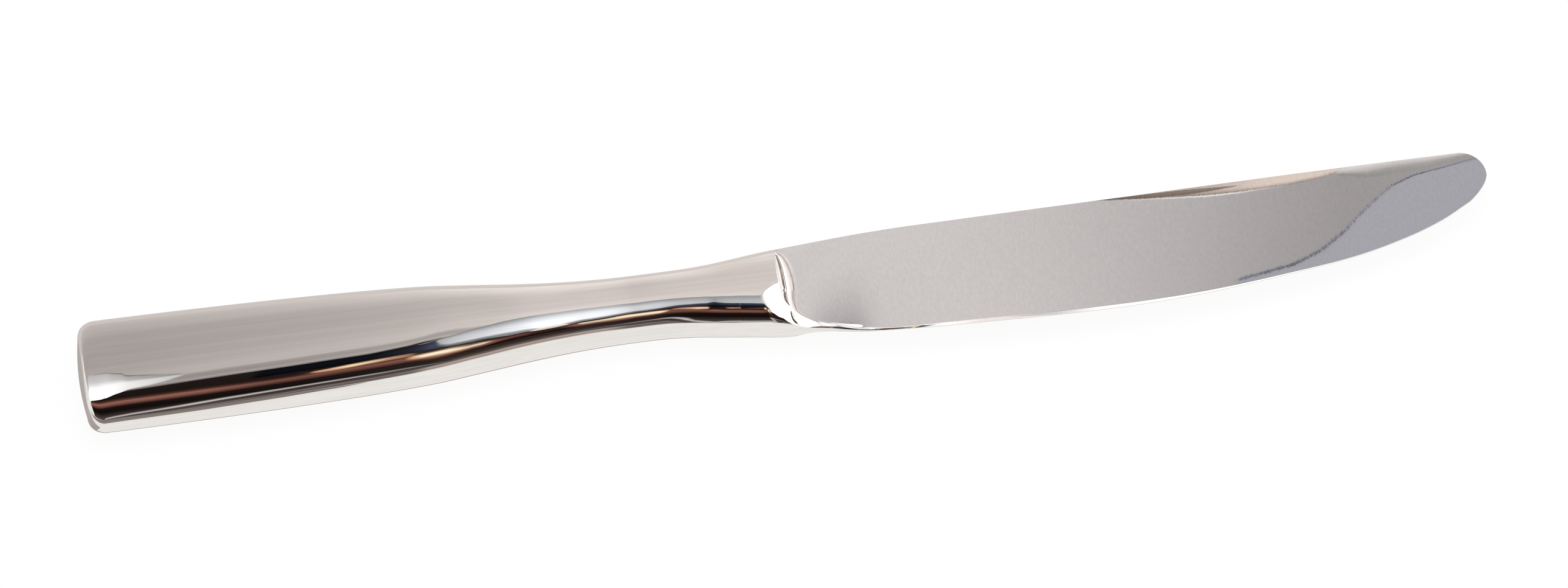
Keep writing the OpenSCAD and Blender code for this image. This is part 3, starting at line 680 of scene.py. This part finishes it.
card("front_softbox", "FFFFFF", 0.886,
     low=[(0.1, 100), (0.125, 92), (0.14, 78), (0.16, 71), (0.19, 68.2), (0.3, 68), (0.34, 65), (0.9, 63)],
     high=[(0.1, 104), (0.125, 119), (0.172, 124), (0.195, 168), (0.9, 177)],
     along=[(0.1, 0.5), (0.125, 0.9), (0.16, 1.7), (0.9, 1.7)],
     across=[(0, 0.7), (0.03, 1), (1, 1)])
card("blue_fringe", "B8C6F5", 0.888,
     low=[(-0.07, 89), (-0.02, 88.5), (-0.006, 84.5), (0, 90), (0.005, 94), (0.01, 97), (0.03, 102.5)],
     high=[(-0.07, 101), (-0.03, 101), (-0.02, 99.5), (-0.005, 100.5), (0.03, 103)],
     along=[(-0.07, 0.01), (-0.03, 0.015), (-0.015, 0.05), (0, 0.15), (0.03, 0.1)],
     across=[(0, 0.8), (0.4, 1), (0.8, 0.7), (1, 0.3)])
card("side_softbox", "FBFCFF", 0.9,
     low=[(-1.5, 66), (-0.2, 66), (-0.118, 69), (-0.108, 72.5), (-0.1, 75.5), (-0.094, 77.5)],
     high=[(-1.5, 110), (-0.2, 100), (-0.118, 93), (-0.108, 90), (-0.1, 86), (-0.094, 80)],
     along=[(-1.5, 1.5), (-0.2, 1.5), (-0.112, 1.2), (-0.1, 0.9), (-0.094, 0.7)],
     across=[(0, 0.42), (0.25, 0.55), (0.45, 1), (1, 1)])
card("side_edge", "FFF4EC", 0.895,
     low=[(-0.3, 66), (-0.2, 66), (-0.118, 68.6), (-0.108, 72), (-0.1, 75)],
     high=[(-0.3, 66.3), (-0.2, 66.8), (-0.118, 69.6), (-0.108, 73.1), (-0.1, 75.8)],
     along=[(-0.3, 0.45), (-0.15, 0.35), (-0.11, 0.2), (-0.1, 0.35)])

# A pale rod with its shadow and its bright edge, which the blade mirrors along the spine, and light past it.
card("spine_rod", "F0E2D8", 0.996,
     low=[(0.173, 50), (0.2437, 50)],
     high=[(0.173, 57.9), (0.175, 58.4), (0.18, 59.0), (0.187, 59.3), (0.196, 59.6), (0.206, 59.9),
           (0.214, 60.0), (0.222, 60.05), (0.231, 60.0), (0.24, 59.7), (0.2437, 59.25)],
     along=[(0.173, 0.62), (0.2, 0.72), (0.223, 1.1), (0.2435, 1.1)],
     across=[(0, 1), (0.96, 1), (0.985, 0.7), (1, 0.35)])
card("rod_shadow", "C8B4A6", 0.99,
     low=[(0.175, 58.2), (0.182, 58.45), (0.19, 58.6), (0.2, 58.85), (0.207, 59.05), (0.214, 59.25)],
     high=[(0.175, 58.4), (0.182, 59.0), (0.19, 59.4), (0.2, 59.55), (0.207, 59.5), (0.214, 59.35)],
     along=[(0.175, 0.22), (0.19, 0.4), (0.214, 0.45)],
     across=[(0, 0.7), (0.1, 1.2), (0.45, 1.5), (0.75, 1), (1, 1.3)])
card("rod_edge", "FFFFFF", 0.993,
     low=[(0.18, 59.0), (0.187, 59.32), (0.196, 59.62), (0.206, 59.92), (0.214, 60.02), (0.228, 60.03)],
     high=[(0.18, 59.06), (0.187, 59.42), (0.196, 59.75), (0.206, 60.05), (0.214, 60.13), (0.228, 60.06)],
     along=[(0.18, 1.0), (0.215, 1.2), (0.228, 0.8)])
card("tip_light", "FFFCFB", 0.995,
     low=[(0.2437, 57), (0.26, 48), (0.35, 48)],
     high=[(0.2437, 59.7), (0.252, 60.4), (0.27, 60.6), (0.35, 60.6)],
     along=[(0.2437, 0.9), (0.27, 1.1), (0.35, 1.1)],
     across=[(0, 1), (0.8, 1), (0.873, 0.8), (0.913, 0.68), (0.935, 0.54), (0.955, 0.47), (1, 0.4)])

# A bluish patch high on the far side, which the tip mirrors, with a dark line along its lower edge.
TIP_EDGE = [(0.214, 64.85), (0.23, 64.65), (0.238, 64.2), (0.246, 63.5), (0.252, 62.7), (0.26, 61.5),
            (0.266, 61.1), (0.272, 61.1), (0.282, 61.4), (0.29, 62.1), (0.34, 63)]
EDGE_BELOW, EDGE_ABOVE = 0.05, 0.06
card("blue_room", "F1F3FF", 0.99,
     low=TIP_EDGE,
     high=[(0.216, 66.5), (0.34, 67.2)],
     along=[(0.216, 0.565), (0.25, 0.585), (0.34, 0.575)])
card("blue_edge", "D8E0FF", 0.985,
     low=[(x, turn - EDGE_BELOW) for x, turn in TIP_EDGE[:-1]],
     high=[(x, turn + EDGE_ABOVE) for x, turn in TIP_EDGE[:-1]],
     along=[(0.216, 0.3), (0.235, 0.14), (0.262, 0.12), (0.27, 0.25), (0.286, 0.3)])

# Painted shadow, seen only by the steel: the table is darker close under the knife and beside the butt.
SHADOW_IN, SHADOW_N = 1.2, 60
near_side = np.linspace(-0.124, 0.11, SHADOW_N)
card("contact_shadow", "FFE9E2", 0,
     low=[(x, (float(curve(EDGE_LINE, x / MM)) + SHADOW_IN) * MM) for x in near_side],
     high=[(x, 0.002) for x in near_side],
     along=[(-0.124, 0.55), (0.11, 0.55)],
     across=[(0, 0.8), (0.3, 1), (1, 1)])
card("butt_shadow", "FFF8F5", 0,
     low=[(-0.14, -0.012), (-0.1197, -0.012)],
     high=[(-0.14, 0.018), (-0.1197, 0.018)],
     along=[(-0.14, 0.65), (-0.124, 0.5), (-0.1197, 0.42)])

# One large soft lamp overhead, which the steel doesn't mirror.
lamp = bpy.data.lights.new("soft_lamp", "AREA")
lamp.shape, lamp.size, lamp.size_y, lamp.energy = "RECTANGLE", 1.2, 0.8, 6.0
lamp_stand = bpy.data.objects.new("soft_lamp", lamp)
bpy.context.scene.collection.objects.link(lamp_stand)
lamp_stand.location = (0.1, 0.2, 1.3)
lamp_stand.rotation_euler = (Vector((0, 0, 0)) - lamp_stand.location).to_track_quat("-Z", "Y").to_euler()
lamp_stand.visible_glossy = lamp_stand.visible_camera = False

# Camera: a long lens, looking down on the knife from the cutting edge's side, lowered by DROP millimetres.
AZIMUTH, ELEVATION, DISTANCE, DROP = math.radians(-8.43), math.radians(58.58), 1.5, 0.613
outward = Vector((math.sin(AZIMUTH), -math.cos(AZIMUTH), 0))
back = outward * math.cos(ELEVATION) + Vector((0, 0, math.sin(ELEVATION)))
right = Vector((math.cos(AZIMUTH), math.sin(AZIMUTH), 0))
above = back.cross(right)
lens = bpy.data.cameras.new("camera")
lens.sensor_width, lens.lens = 36.0, 205.03
camera = bpy.data.objects.new("camera", lens)
bpy.context.scene.collection.objects.link(camera)
camera.location = Vector(PLACE * MM) + back * DISTANCE - above * DROP * MM
camera.rotation_euler = (-back).to_track_quat("-Z", "Y").to_euler()
bpy.context.scene.camera = camera
bpy.context.scene.view_settings.view_transform = "Standard"
